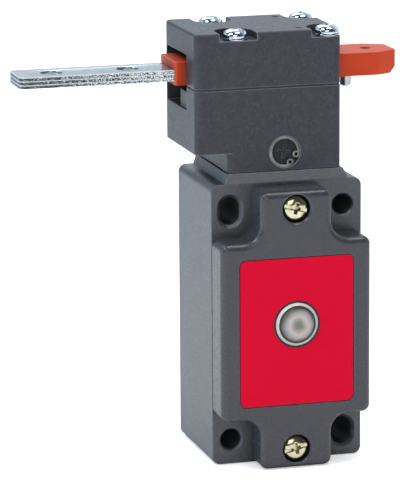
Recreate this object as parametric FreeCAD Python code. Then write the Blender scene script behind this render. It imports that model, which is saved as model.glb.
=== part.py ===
"""Tongue interlock switch: moulded housing with a side-entry actuating head."""
import FreeCAD, Part
import math
import os

V = FreeCAD.Vector

# ---- frame: origin in the middle of the fixing holes, on the rear face.
# +Z up, -Y to the front, +X to the right. Lengths in millimetres.

# ---- housing
fix_pitch_x = 30.0          # fixing holes, centre to centre across
fix_pitch_z = 60.0          # fixing holes, centre to centre upwards
fix_hole_d = 5.3
fix_slot_extra = 2.0        # how much longer than wide a slotted hole is
fix_rim = 0.45              # chamfer round the mouth of a fixing hole
fix_slot_rim = 0.8          # wider chamfer at the front of a slotted hole
body_w = 40.0
body_d = 31.0
body_top = 36.9
body_bottom = -36.4
body_corner_r = 2.0
body_wall = 3.0
shoulder_wall = 2.9         # plastic round a fixing hole
chamber_top = 28.0          # roof of the contact chamber
chamber_bottom = -27.0      # floor of the contact chamber
seat_side = 4.9             # housing side to the neck's side
seat_rim = 0.35             # seat's top beyond the neck
seat_draft = 0.8            # how far the seat's sides lean out
seat_h = 2.4
seat_slope = 1.8            # how far the seat's front leans back
screw_foot = 34.6           # lower end of the head screws

# ---- cable entry
entry_bore_d = 18.4         # core of the M20 x 1.5 thread
entry_mouth = 0.8           # lead-in chamfer

# ---- cover
cover_w = 39.8
cover_t = 9.0
cover_half_h = 23.1         # half height of the wide middle
cover_wall = 2.4
cover_corner_r = 2.0
cover_notch_r = 4.6
cover_edge_r = 1.7
tab_w = 19.0
tab_top_gap = 0.9           # tab top below the housing top
gasket_w = 1.6
chamber_lap = 1.5           # how far the cover's middle overlaps the chamber
gasket_t = 0.8
cover_screw_z = 31.4
cover_screw_d = 3.5
cover_head_d = 6.4
cover_head_h = 2.3
cover_cbore_d = 7.4
cover_cbore_t = 2.6
cover_cbore_rim = 0.4
cover_screw_l = 11.6

# ---- label and indicator
label_w = 30.0
label_h = 38.2
label_z = -0.35
label_t = 0.3
label_r = 1.5
label_gap = 0.25
lens_z = 1.5
lens_d = 11.2
lens_rise = 1.1
lens_ring_w = 0.55
led_d = 5.0
led_h = 2.6

# ---- actuating head
head_set_back = 1.8         # head front behind the housing front
head_rear_gap = 0.2         # head back in front of the rear face
head_cx = 0.2
neck_h = 5.2
side_reach = 8.5            # how far the head overhangs on the left
base_h = 16.5               # lower block above the neck
cap_h = 14.3
head_edge_r = 1.6
head_top_r = 0.7
seam_chamfer = 0.3
head_screw_in_x = 2.9       # screw axis from the neck's side
head_screw_in_y = 3.3       # screw axis from the head's front and back
head_screw_d = 3.0
head_screw_head_d = 6.2
head_screw_head_h = 2.3
washer_t = 0.5
pocket_t = 2.0
pocket_r = 5.0
pocket_shift = 1.3
vent_d = 2.0
vent_x = 5.0
vent_in_y = 4.5
vent_t = 2.0

# ---- tongue slide
slide_beside = 3.9          # slide's side from a head screw's row, on average
slide_t = 6.0
slide_left = -26.2
slide_right = 33.6
slide_off = 1.4             # slide's centre line behind the head's
slide_lift = 0.3            # clearance under the slide
slide_side_gap = 0.3
nose_cham_x = 5.2
nose_cham_y = 2.9
nose_under = 1.6
nose_hole_d = 3.0
nose_hole_in = 6.7
nose_hole_t = 3.0
mouth_more = 4.4            # mouth in the left face, wider than the slide
mouth_h = 8.1
mouth_len = 7.6
keyway_w = 5.7              # deep slot for rack and stop pin
keyway_room = 0.6           # keyway's front wall from the rack
keyway_t = 6.3
step_t = 1.95
lead_t = 0.8                # shallow lead-in beside the keyway
neck_rim = 0.25             # chamfer round the neck's foot
travel = 10.0

# ---- steel tongue
plate_t = 1.0
plate_n = 3
plate_side = 1.1            # slide beside the plates
plate_free = 40.2           # plates beyond the slide
plate_grip = 13.8           # plates inside the slide
plate_cham = 1.0
plate_hole_d = 5.5
plate_hole_pitch = 20.0
plate_hole_in = 9.5
plate_csk = 0.35
plate_rise = 0.9            # plates above the slide's underside
rivet_d = 3.0
rivet_in = 6.2
rivet_pitch = 4.8

# ---- stop pin
pin_d = 3.0
pin_in = 11.1               # pin axis from the slide's right end
pin_off = 0.9               # pin axis in front of the rack's middle
pin_out = 4.1
pin_cham = 0.35
pin_seat = 3.5

# ---- rack and toothed lever
gear_m = 1.25
gear_r = 15.0
gear_play = 0.16
axle_z = 44.2
axle_d = 4.0
run_gap = 0.04
rack_w = 4.4
rack_in = 3.5               # rack's middle from the slide's back
rack_teeth = 6
rack_first = -2
sector_teeth = 5
sector_first = -3
hub_d = 7.4
hub_ahead = 2.3             # hub's front face from the plunger's axis
cam_t = 4.4
cam_h0 = 4.4
cam_lift = 3.0
cam_room = 1.6              # extra room on the cam's side
axle_in = 3.5               # axle end behind the head's front
axle_back = 3.5

# ---- retaining ring and plug
ring_d = 8.2
ring_band = 0.75
ring_t = 0.6
ring_in = 0.3
ring_eye_d = 1.9
ring_eye_hole_d = 0.85
ring_eye_a = -38.0
ring_eye_half = 24.0
plug_in = 1.0

# ---- plunger and return spring
stem_d = 5.0
flange_d = 12.6
flange_t = 1.5
well_d = 15.6
well_floor = 30.5
spring_wire = 0.7
spring_d = 9.0
spring_turns = 3.5
spring_sides = 12           # straight runs in one turn
wire_sides = 6              # flats round the wire
seal_band = 1.5
seal_out_d = 20.0
seal_t = 0.7

# ---- contact set
block_side = 1.5            # room beside the contact block
block_behind = 6.8          # its front behind the housing's front
block_top = 21.0
block_bottom = -17.0
channel_side = 6.0          # contact block beside its channel
channel_back = 7.0
carrier_w = 6.4
carrier_t = 6.6
carrier_bottom = -8.0
bridge_room = 0.8           # room at each end of a bridge
bridge_w = 3.2
bridge_t = 0.6
tip_d = 2.4
tip_t = 0.5
tip_in = 1.5                # contact tip from the bridge's end
nc_z = 10.0
no_z = -1.5
strip_t = 0.8
strip_w = 2.8
pad_w = 7.0
pad_h = 7.4
pad_z_nc = 13.6             # terminals of the opening contact
pad_z_no = -9.2             # terminals of the closing contact
pad_in = 4.1                # screw pad's middle from the block's side
tscrew_d = 2.9
tscrew_head_d = 5.0
tscrew_head_h = 1.6
tscrew_l = 7.0
touch = 0.05                # gap between contact faces that meet

# ---- derived positions
hw = body_w / 2
face_y = -body_d
cover_y = face_y - cover_t
seat_top = body_top + seat_h
head_front = face_y + head_set_back
head_back = -head_rear_gap
head_cy = (head_front + head_back) / 2
head_deep = head_back - head_front
head_screw_py = head_deep - 2 * head_screw_in_y
neck_w = body_w - 2 * seat_side
head_screw_px = neck_w - 2 * head_screw_in_x
head_r = head_cx + neck_w / 2
neck_l = head_cx - neck_w / 2
head_l = neck_l - side_reach
neck_top = seat_top + neck_h
seam_z = neck_top + base_h
cap_top = seam_z + cap_h
pocket_z = cap_top - pocket_t
slide_z0 = seam_z + slide_lift
slide_z1 = slide_z0 + slide_t
slide_y = head_cy + slide_off
slide_w = head_screw_py - 2 * slide_beside
plate_w = slide_w - 2 * plate_side
slide_f = slide_y - slide_w / 2
slide_b = slide_y + slide_w / 2
mouth_front = slide_f - slide_side_gap
mouth_b = mouth_front + slide_w + mouth_more
mouth_x = head_l + mouth_len
rack_y = slide_b - rack_in
keyway_front = rack_y - rack_w / 2 - keyway_room
keyway_b = keyway_front + keyway_w
keyway_z = seam_z - keyway_t
plate_z0 = slide_z0 + plate_rise
plate_z1 = plate_z0 + plate_n * plate_t
plate_tip = slide_left - plate_free
axle_x = head_cx
axle_front = -head_front - axle_in
pin_y = rack_y - pin_off
pitch = math.pi * gear_m
stem_y = head_cy
hub_front = stem_y - hub_ahead
seal_in_d = seal_out_d - 2 * seal_band
flange_top = axle_z - cam_h0 - touch
cam_rb = cam_lift * gear_r / travel
swing = travel / gear_r
block_front = body_d - block_behind
block_w = body_w - 2 * body_wall - 2 * block_side
channel_w = block_w - 2 * channel_side
bridge_l = channel_w - 2 * bridge_room
tip_x = bridge_l / 2 - tip_in
pad_x = block_w / 2 - pad_in
vent_py = head_deep - 2 * vent_in_y
screw_xy = [(head_cx + sx * head_screw_px / 2, head_cy + sy * head_screw_py / 2)
            for sy in (-1, 1) for sx in (-1, 1)]
OUT = {}


# ---- helpers
def box(x0, x1, y0, y1, z0, z1):
    return Part.makeBox(x1 - x0, y1 - y0, z1 - z0, V(x0, y0, z0))


def cyl(r, length, at, way):
    return Part.makeCylinder(r, length, V(*at), V(*way))


def cone(r0, r1, length, at, way):
    return Part.makeCone(r0, r1, length, V(*at), V(*way))


def prism(points, way):
    """Extrude a closed polygon of 3-D points along way."""
    pts = [V(*p) for p in points]
    wire = Part.makePolygon(pts + [pts[0]])
    return Part.Face(wire).extrude(V(*way))


def edges_along(shape, axis, keep=None):
    """Straight edges that run along axis 0, 1 or 2."""
    out = []
    for e in shape.Edges:
        if len(e.Vertexes) != 2:
            continue
        d = e.Vertexes[1].Point - e.Vertexes[0].Point
        if d.Length < 1e-6:
            continue
        if abs(abs(d[axis]) - d.Length) > 1e-6:
            continue
        m = (e.Vertexes[1].Point + e.Vertexes[0].Point) * 0.5
        if keep is None or keep(m):
            out.append(e)
    return out


def rounded(shape, r, axis, keep=None):
    """Round the edges along axis that keep accepts."""
    es = edges_along(shape, axis, keep)
    return shape.makeFillet(r, es) if es else shape


def plate_round(w, h, t, r, at):
    """Flat plate facing -Y, centred at at=(x, y_front, z), rounded corners."""
    x, y, z = at
    b = box(x - w / 2, x + w / 2, y, y + t, z - h / 2, z + h / 2)
    return rounded(b, r, 1)


def ring_y(r_out, r_in, t, at):
    a = cyl(r_out, t, at, (0, 1, 0))
    return a.cut(cyl(r_in, t, at, (0, 1, 0)))


def put(name, shape):
    shape = shape.removeSplitter()
    solids = shape.Solids
    if len(solids) == 1:
        shape = solids[0]
    OUT[name] = shape


# ---- housing
def fixing_hole(x, z, slotted):
    """Hole through the housing along Y, with a small chamfer at each mouth."""
    r = fix_hole_d / 2
    grow = fix_slot_extra / 2 if slotted else 0.0

    def section(rad, y0, y1, rad2=None):
        rad2 = rad if rad2 is None else rad2
        ends = [z - grow, z + grow] if slotted else [z]
        parts = []
        for c in ends:
            if rad2 == rad:
                parts.append(cyl(rad, y1 - y0, (x, y0, c), (0, 1, 0)))
            else:
                parts.append(cone(rad, rad2, y1 - y0, (x, y0, c), (0, 1, 0)))
        s = parts[0]
        if slotted:
            s = s.fuse(parts[1])
            s = s.fuse(prism([(x - rad, y0, z - grow), (x + rad, y0, z - grow),
                              (x + rad, y0, z + grow), (x - rad, y0, z + grow)],
                             (0, y1 - y0, 0))) if rad2 == rad else s
        return s

    hole = section(r, face_y, 0.0)
    if slotted:
        k = fix_slot_rim
        mouth = section(r + k, face_y, face_y + k, r)
        ramp = prism([(x - r - k, face_y, z - grow), (x + r + k, face_y, z - grow),
                      (x + r, face_y + k, z - grow), (x - r, face_y + k, z - grow)],
                     (0, 0, 2 * grow))
        return hole.fuse(mouth).fuse(ramp)
    front = section(r + fix_rim, face_y, face_y + fix_rim, r)
    back = section(r, -fix_rim, 0.0, r + fix_rim)
    return hole.fuse(front).fuse(back)


def chamber():
    """Inside of the housing, narrower between the fixing holes."""
    x1 = hw - body_wall
    x2 = fix_pitch_x / 2 - fix_hole_d / 2 - shoulder_wall
    z1 = cover_half_h - chamber_lap
    back = -body_wall
    wide = box(-x1, x1, face_y, back, -z1, z1)
    wide = rounded(wide, 1.5, 1)
    tall = box(-x2, x2, face_y, back, chamber_bottom, chamber_top)
    tall = rounded(tall, 1.0, 1)
    return wide.fuse(tall)


def head_seat():
    """Raised seat: sides with draft and a front that leans back."""
    a = neck_w / 2 + seat_rim
    b = a + seat_draft
    z0 = body_top - 0.5
    z1 = seat_top
    grow = seat_draft * 0.5 / seat_h
    seat = prism([(head_cx - b - grow, face_y, z0), (head_cx + b + grow, face_y, z0),
                  (head_cx + a, face_y, z1), (head_cx - a, face_y, z1)],
                 (0, body_d - head_rear_gap, 0))
    lean = prism([(-hw, face_y, body_top), (-hw, face_y, z1 + 1),
                  (-hw, face_y + seat_slope * (1 + 1 / seat_h), z1 + 1)], (body_w, 0, 0))
    return seat.cut(lean)


def make_housing():
    b = box(-hw, hw, face_y, 0, body_bottom, body_top)
    b = rounded(b, body_corner_r, 1)
    b = b.fuse(head_seat())
    b = b.cut(chamber())
    px = fix_pitch_x / 2
    pz = fix_pitch_z / 2
    for x, z, slotted in ((px, pz, False), (-px, -pz, False), (-px, pz, True), (px, -pz, True)):
        b = b.cut(fixing_hole(x, z, slotted))
    for z in (cover_screw_z, -cover_screw_z):
        depth = cover_screw_l - (cover_t - cover_cbore_t) + 0.4
        b = b.cut(cyl(cover_screw_d / 2 - 0.25, depth, (0, face_y, z), (0, 1, 0)))
    # cable entry
    r = entry_bore_d / 2
    run = chamber_bottom - body_bottom
    b = b.cut(cyl(r, run, (0, stem_y, body_bottom), (0, 0, 1)))
    b = b.cut(cone(r + entry_mouth, r, entry_mouth, (0, stem_y, body_bottom), (0, 0, 1)))
    # plunger well and stem guide
    b = b.cut(cyl(well_d / 2, seat_top - well_floor, (axle_x, stem_y, well_floor), (0, 0, 1)))
    b = b.cut(cyl(stem_d / 2 + run_gap, well_floor - chamber_top,
                  (axle_x, stem_y, chamber_top), (0, 0, 1)))
    groove = cyl(seal_out_d / 2, seal_t, (axle_x, stem_y, seat_top - seal_t), (0, 0, 1))
    b = b.cut(groove.cut(cyl(seal_in_d / 2, seal_t, (axle_x, stem_y, seat_top - seal_t), (0, 0, 1))))
    for x, y in screw_xy:
        b = b.cut(cyl(head_screw_d / 2 + 0.02, seat_top - screw_foot + 0.3,
                      (x, y, screw_foot - 0.3), (0, 0, 1)))
    put("housing", b)


# ---- cover
def cover_outline(inset, y0, t, r_out, r_in, tabs=True):
    """Cross-shaped plate: wide middle and a tab at each end."""
    a = cover_w / 2 - inset
    c = cover_half_h - inset
    d = tab_w / 2 - inset
    top = body_top - tab_top_gap - inset
    bot = body_bottom + inset
    pts = [(-a, c), (-d, c), (-d, top), (d, top), (d, c), (a, c),
           (a, -c), (d, -c), (d, bot), (-d, bot), (-d, -c), (-a, -c)]
    s = prism([(x, y0, z) for x, z in pts], (0, t, 0))

    def inner(m):
        return abs(abs(m.x) - d) < 1e-4 and abs(abs(m.z) - c) < 1e-4

    s = rounded(s, r_in, 1, inner)
    s = rounded(s, r_out, 1, lambda m: not inner(m) and
                (abs(abs(m.x) - a) < 1e-4 or abs(m.z - top) < 1e-4 or abs(m.z - bot) < 1e-4))
    return s


def make_cover():
    s = cover_outline(0.0, cover_y, cover_t, cover_corner_r, cover_notch_r)
    front = [e for e in s.Edges if abs(e.BoundBox.YMin - cover_y) < 1e-5
             and abs(e.BoundBox.YMax - cover_y) < 1e-5]
    s = s.makeFillet(cover_edge_r, front)
    hollow = box(-cover_w / 2 + cover_wall, cover_w / 2 - cover_wall, cover_y + cover_wall, face_y,
                 -cover_half_h + cover_wall, cover_half_h - cover_wall)
    s = s.cut(rounded(hollow, 1.5, 1))
    rec = plate_round(label_w + 2 * label_gap, label_h + 2 * label_gap, label_t,
                      label_r + label_gap, (0, cover_y, label_z))
    s = s.cut(rec)
    s = s.cut(cyl(lens_d / 2 + lens_ring_w, cover_wall, (0, cover_y, lens_z), (0, 1, 0)))
    for z in (cover_screw_z, -cover_screw_z):
        s = s.cut(cyl(cover_cbore_d / 2, cover_cbore_t, (0, cover_y, z), (0, 1, 0)))
        s = s.cut(cone(cover_cbore_d / 2 + cover_cbore_rim, cover_cbore_d / 2, cover_cbore_rim,
                       (0, cover_y, z), (0, 1, 0)))
        s = s.cut(cyl(cover_screw_d / 2 + 0.15, cover_t, (0, cover_y, z), (0, 1, 0)))
    g = gasket_shape(0.0)
    put("cover", s.cut(g))


def gasket_shape(shrink):
    """Rectangular seal let into the cover's rear face."""
    w = cover_w / 2 - 0.35 * cover_wall
    h = cover_half_h - 0.35 * cover_wall
    gw = min(gasket_w, 0.5 * cover_wall)
    y0 = face_y - gasket_t
    a = box(-w + shrink, w - shrink, y0 + shrink, face_y, -h + shrink, h - shrink)
    k = gw - shrink
    b = box(-w + k, w - k, y0, face_y, -h + k, h - k)
    return rounded(a, 1.0, 1).cut(rounded(b, 0.6, 1))


def slot_and_cross(d, depth, top, way):
    """Combined slot and cross recess at the crown of a screw head."""
    x, y, z = top
    w = d * 0.15
    arm = d * 0.62
    if way == "y":
        slot = box(x - d, x + d, y, y + depth, z - w / 2, z + w / 2)
        cross = box(x - w, x + w, y, y + depth * 1.25, z - arm / 2, z + arm / 2)
    else:
        slot = box(x - w / 2, x + w / 2, y - d, y + d, z - depth, z)
        cross = box(x - arm / 2, x + arm / 2, y - w, y + w, z - depth * 1.25, z)
    return slot.fuse(cross)


def pan_screw(at, way, head_d, head_h, shank_d, length, recess=0.9):
    """Pan head screw: crowned head in three bands, plain shank with a short point."""
    x, y, z = at
    r = head_d / 2
    s = shank_d / 2
    k = head_h
    p = [(0, k), (0.5 * r, k * 0.97), (0.82 * r, 0.75 * k), (r, 0.35 * k), (r, 0.0),
         (s, 0.0), (s, -length + s * 0.5), (s * 0.5, -length), (0, -length)]
    wire = Part.makePolygon([V(a, 0, b) for a, b in p + [p[0]]])
    body = Part.Face(wire).revolve(V(0, 0, 0), V(0, 0, 1), 360)
    body = body.cut(slot_and_cross(head_d, recess, (0, 0, k), "z"))
    if way == "y":
        body.rotate(V(0, 0, 0), V(1, 0, 0), 90)
    body.translate(V(x, y, z))
    return body


def make_cover_screws():
    for name, z in (("cover_screw_upper", cover_screw_z), ("cover_screw_lower", -cover_screw_z)):
        s = pan_screw((0, cover_y + cover_cbore_t, z), "y", cover_head_d, cover_head_h,
                      cover_screw_d - 0.55, cover_screw_l)
        put(name, s)


def make_label():
    s = plate_round(label_w, label_h, label_t, label_r, (0, cover_y, label_z))
    s = s.cut(cyl(lens_d / 2 + lens_ring_w, label_t, (0, cover_y, lens_z), (0, 1, 0)))
    put("label", s)


def make_indicator():
    r = lens_d / 2
    ball = (r * r + lens_rise * lens_rise) / (2 * lens_rise)
    dome = Part.makeSphere(ball, V(0, cover_y - lens_rise + ball, lens_z))
    front = dome.common(cyl(r, lens_rise, (0, cover_y - lens_rise, lens_z), (0, 1, 0)))
    barrel = cyl(r, cover_wall, (0, cover_y, lens_z), (0, 1, 0))
    foot = cyl(r + 1.5, 1.0, (0, cover_y + cover_wall, lens_z), (0, 1, 0))
    lens = front.fuse(barrel).fuse(foot)
    lens = lens.cut(cyl(led_d / 2 + 0.3, cover_wall + 0.4, (0, cover_y + 0.6, lens_z), (0, 1, 0)))
    put("indicator_lens", lens)
    put("indicator_ring", ring_y(r + lens_ring_w, r, cover_wall, (0, cover_y, lens_z)))
    y0 = cover_y + cover_wall + 1.0
    board = cyl(r + 1.5, 1.2, (0, y0, lens_z), (0, 1, 0))
    lamp = cyl(led_d / 2, led_h - led_d / 2, (0, y0 - led_h + led_d / 2, lens_z), (0, 1, 0))
    cap = cone(led_d * 0.25, led_d / 2, led_d / 4, (0, y0 - led_h + led_d / 4, lens_z), (0, 1, 0))
    put("indicator_lamp", board.fuse(lamp).fuse(cap))


# ---- head
def block_outer(z0, z1, x0, r):
    b = box(x0, head_r, head_front, head_back, z0, z1)
    return rounded(b, r, 2)


def slide_channel(z0, z1):
    """Way of the slide through the head, with its wide mouth on the left."""
    f = slide_f - slide_side_gap
    k = slide_b + slide_side_gap
    run = box(head_l, head_r, f, k, z0, z1)
    mouth = box(head_l, mouth_x, mouth_front, mouth_b, z0, z1)
    return run.fuse(mouth)


def make_head_base():
    b = block_outer(neck_top, seam_z, head_l, head_edge_r)
    neck = block_outer(seat_top, neck_top, neck_l, head_edge_r)
    foot = [e for e in neck.Edges if e.BoundBox.ZMax < seat_top + 1e-5]
    neck = neck.makeChamfer(neck_rim, foot)
    b = b.fuse(neck)
    rim = [e for e in b.Edges if e.BoundBox.ZMin > seam_z - 1e-5]
    b = b.makeChamfer(seam_chamfer, rim)
    # mouth step in the left face
    b = b.cut(box(head_l, mouth_x, mouth_front, mouth_b, seam_z - step_t, seam_z))
    b = b.cut(box(head_l, mouth_x, keyway_front, mouth_b, keyway_z, seam_z))
    b = b.cut(box(head_l, head_l + lead_t, mouth_front, keyway_front, keyway_z, seam_z))
    b = b.cut(box(head_l, head_r, keyway_front, keyway_b, keyway_z, seam_z))
    # room for the toothed lever
    tip = gear_r + gear_m + 0.5
    room = box(axle_x - tip * 0.92, axle_x + tip * 0.8, hub_front - 0.5, keyway_b,
               axle_z + 2.0, seam_z)
    low = box(axle_x - well_d / 2 - cam_room, axle_x + well_d / 2, hub_front - 0.5, keyway_b,
              seat_top, axle_z + 2.0)
    b = b.cut(rounded(room, 0.8, 2)).cut(rounded(low, 0.8, 2))
    b = b.cut(cyl(well_d / 2, 1.4, (axle_x, stem_y, seat_top), (0, 0, 1)))
    # axle seat, plug and ring recess
    b = b.cut(cyl(axle_d / 2 + run_gap / 2, axle_front - axle_back,
                  (axle_x, -axle_front, axle_z), (0, 1, 0)))
    b = b.cut(cyl(ring_d / 2, -axle_front - head_front, (axle_x, head_front, axle_z), (0, 1, 0)))
    for x, y in screw_xy:
        b = b.cut(cyl(head_screw_d / 2 + 0.1, seam_z - seat_top, (x, y, seat_top), (0, 0, 1)))
    put("head_base", b)


def pocket(x, y):
    """Recess for a head screw, open to the near edges of the cap."""
    sy = -1 if y < head_cy else 1
    edge = head_front if sy < 0 else head_back
    cy = y - sy * pocket_shift
    s = cyl(pocket_r, pocket_t, (x, cy, pocket_z), (0, 0, 1))
    lo, hi = sorted((cy, edge))
    s = s.fuse(box(x - pocket_r, x + pocket_r, lo, hi, pocket_z, cap_top))
    if x > head_cx:
        far = cy - sy * pocket_r
        lo, hi = sorted((far, edge))
        s = s.fuse(box(x, head_r, lo, hi, pocket_z, cap_top))
    return s


def make_head_cap():
    b = block_outer(seam_z, cap_top, head_l, head_edge_r)
    top = [e for e in b.Edges if e.BoundBox.ZMin > cap_top - 1e-5]
    b = b.makeFillet(head_top_r, top)
    rim = [e for e in b.Edges if e.BoundBox.ZMax < seam_z + 1e-5]
    b = b.makeChamfer(seam_chamfer, rim)
    b = b.cut(slide_channel(seam_z, seam_z + mouth_h))
    # guide ribs that keep the slide down
    rib_z = slide_z1 + slide_lift
    for y in (slide_f + 1.5, slide_b - 3.0):
        b = b.fuse(box(mouth_x, head_r, y, y + 1.5, rib_z, seam_z + mouth_h))
    for x, y in screw_xy:
        b = b.cut(pocket(x, y))
        b = b.cut(cyl(head_screw_d / 2 + 0.1, cap_h, (x, y, seam_z), (0, 0, 1)))
    for sy in (-1, 1):
        b = b.cut(cyl(vent_d / 2, vent_t, (head_cx + vent_x, head_cy + sy * vent_py / 2,
                                           cap_top - vent_t), (0, 0, 1)))
    put("head_cap", b)


def make_head_screws():
    for i, (x, y) in enumerate(screw_xy, 1):
        z = pocket_z + washer_t
        s = pan_screw((x, y, z), "z", head_screw_head_d, head_screw_head_h, head_screw_d,
                      z - screw_foot)
        put("head_screw_%d" % i, s)
        w = cyl(head_screw_head_d / 2 + 0.1, washer_t, (x, y, pocket_z), (0, 0, 1))
        w = w.cut(cyl(head_screw_d / 2 + 0.1, washer_t, (x, y, pocket_z), (0, 0, 1)))
        put("spring_washer_%d" % i, w)


def make_head_seal():
    z = seat_top - seal_t
    a = cyl(seal_out_d / 2 - 0.05, seal_t, (axle_x, stem_y, z), (0, 0, 1))
    put("head_seal", a.cut(cyl(seal_in_d / 2 + 0.05, seal_t, (axle_x, stem_y, z), (0, 0, 1))))


# ---- slide, plates and pin
def make_slide():
    z0, z1 = slide_z0, slide_z1
    c, d = nose_cham_x, nose_cham_y
    pts = [(slide_left, slide_f), (slide_right - c, slide_f), (slide_right, slide_f + d),
           (slide_right, slide_b - d), (slide_right - c, slide_b), (slide_left, slide_b)]
    s = prism([(x, y, z0) for x, y in pts], (0, 0, z1 - z0))
    s = rounded(s, 0.5, 2, lambda m: abs(m.x - slide_left) < 1e-4)
    u = nose_under
    s = s.cut(prism([(slide_right - u, slide_f - 1, z0), (slide_right, slide_f - 1, z0),
                     (slide_right, slide_f - 1, z0 + u)], (0, slide_w + 2, 0)))
    # socket for the plates, open to the left and to the back
    f = slide_y - plate_w / 2 - 0.1
    s = s.cut(box(slide_left, slide_left + plate_grip + 0.1, f, slide_b, plate_z0 - 0.03,
                  plate_z1 + 0.03))
    s = s.fuse(rack())
    hx = slide_right - nose_hole_in
    s = s.cut(cyl(nose_hole_d / 2, nose_hole_t, (hx, slide_y, z1 - nose_hole_t), (0, 0, 1)))
    px = slide_right - pin_in
    s = s.cut(cyl(pin_d / 2, pin_seat, (px, pin_y, z0), (0, 0, 1)))
    for x in rivets_x():
        s = s.cut(cyl(rivet_d / 2, slide_t, (x, slide_y, z0), (0, 0, 1)))
    put("slide", s)
    pin = cyl(pin_d / 2, pin_out + pin_seat, (px, pin_y, z0 - pin_out), (0, 0, 1))
    end = [e for e in pin.Edges if e.BoundBox.ZMax < z0 - pin_out + 1e-5]
    put("stop_pin", pin.makeChamfer(pin_cham, end))


def rack():
    """Rack bar under the slide: straight-flanked teeth of the gear module."""
    line = axle_z + gear_r
    tip = line - gear_m
    root = min(line + 1.2 * gear_m, slide_z0)
    tan = math.tan(math.radians(20.0))
    y0 = rack_y - rack_w / 2
    half = pitch / 4 - gear_play / 2
    teeth = None
    for k in range(rack_first, rack_first + rack_teeth):
        x = axle_x + (k + 0.5) * pitch
        a = half - (line - tip) * tan
        b = half + (root - line) * tan
        t = prism([(x - a, y0, tip), (x + a, y0, tip), (x + b, y0, root), (x - b, y0, root)],
                  (0, rack_w, 0))
        teeth = t if teeth is None else teeth.fuse(t)
    x0 = axle_x + (rack_first + 0.5) * pitch - half - 0.6
    x1 = axle_x + (rack_first + rack_teeth - 0.5) * pitch + half + 0.4
    bar = box(x0, x1, y0, y0 + rack_w, root, slide_z0 + 0.5)
    return teeth.fuse(bar)


def rivets_x():
    return [slide_left + rivet_in, slide_left + rivet_in + rivet_pitch]


def plate_holes_x():
    return [plate_tip + plate_hole_in, plate_tip + plate_hole_in + plate_hole_pitch]


def make_plates():
    f = slide_y - plate_w / 2
    b = slide_y + plate_w / 2
    c = plate_cham
    end = slide_left + plate_grip
    for i in range(plate_n):
        z = plate_z0 + i * plate_t
        pts = [(plate_tip + c, f), (end, f), (end, b), (plate_tip + c, b),
               (plate_tip, b - c), (plate_tip, f + c)]
        s = prism([(x, y, z) for x, y in pts], (0, 0, plate_t))
        for x in plate_holes_x():
            r = plate_hole_d / 2
            s = s.cut(cyl(r, plate_t, (x, slide_y, z), (0, 0, 1)))
            if i == plate_n - 1:
                s = s.cut(cone(r, r + plate_csk, plate_csk, (x, slide_y, z + plate_t - plate_csk),
                               (0, 0, 1)))
            if i == 0:
                s = s.cut(cone(r + plate_csk, r, plate_csk, (x, slide_y, z), (0, 0, 1)))
        for x in rivets_x():
            s = s.cut(cyl(rivet_d / 2, plate_t, (x, slide_y, z), (0, 0, 1)))
        put("tongue_plate_%d" % (i + 1), s)
    for i, x in enumerate(rivets_x(), 1):
        put("tongue_rivet_%d" % i, cyl(rivet_d / 2, slide_t, (x, slide_y, slide_z0), (0, 0, 1)))


# ---- lever, axle and ring
def involute_tooth(angle):
    """Outline points of one gear tooth centred on angle, from root to root."""
    pa = math.radians(20.0)
    rb = gear_r * math.cos(pa)
    ra = gear_r + gear_m
    rr = gear_r - 1.25 * gear_m
    half = (math.pi * gear_m / 2 - gear_play) / 2 / gear_r

    def inv(r):
        t = math.acos(min(1.0, rb / r))
        return math.tan(t) - t

    base = half + inv(gear_r)
    flank = [max(rb, rr) + (ra - max(rb, rr)) * i / 5.0 for i in range(6)]
    left = [(r, angle + base - inv(r)) for r in flank]
    right = [(r, angle - base + inv(r)) for r in reversed(flank)]
    if rr < rb:
        left.insert(0, (rr, angle + base))
        right.append((rr, angle - base))
    pts = list(reversed(right)) + list(reversed(left))
    return [(axle_x + r * math.cos(a), axle_z + r * math.sin(a)) for r, a in pts]


def sector_outline():
    pts = []
    for k in range(sector_first, sector_first + sector_teeth):
        pts += involute_tooth(math.pi / 2 + 2 * math.pi * k * gear_m / (2 * gear_r))
    return pts


def cam_outline():
    """Involute cam: lifts a flat face in step with the turn."""
    pts = []
    n = 12
    for i in range(n + 1):
        t = swing * (i / n * 1.04 - 0.02)
        h = cam_h0 + cam_rb * t
        x, z = -cam_rb, -h
        ca, sa = math.cos(t), math.sin(t)
        pts.append((axle_x + x * ca + z * sa, axle_z - x * sa + z * ca))
    return pts


def make_lever():
    y_back = rack_y + rack_w / 2
    hub = cyl(hub_d / 2, y_back - hub_front, (axle_x, hub_front, axle_z), (0, 1, 0))
    pts = sector_outline()
    y0 = rack_y - rack_w / 2
    web = prism([(x, y0, z) for x, z in pts + [(axle_x - hub_d * 0.42, axle_z + hub_d * 0.15),
                                               (axle_x, axle_z), (axle_x + hub_d * 0.35,
                                                                  axle_z - hub_d * 0.1)]],
                (0, rack_w, 0))
    cam = cam_outline()
    c0 = prism([(x, hub_front, z) for x, z in
                cam + [(axle_x - hub_d * 0.3, axle_z + hub_d * 0.3), (axle_x + hub_d * 0.3, axle_z)]],
               (0, cam_t, 0))
    s = hub.fuse(web).fuse(c0)
    for a, r, d in ((72.0, 9.2, 4.4), (100.0, 9.2, 3.2)):
        t = math.radians(a)
        s = s.cut(cyl(d / 2, rack_w, (axle_x + r * math.cos(t), y0, axle_z + r * math.sin(t)),
                      (0, 1, 0)))
    s = s.cut(cyl(axle_d / 2 + run_gap, y_back - hub_front, (axle_x, hub_front, axle_z), (0, 1, 0)))
    put("toothed_lever", s)


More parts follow.
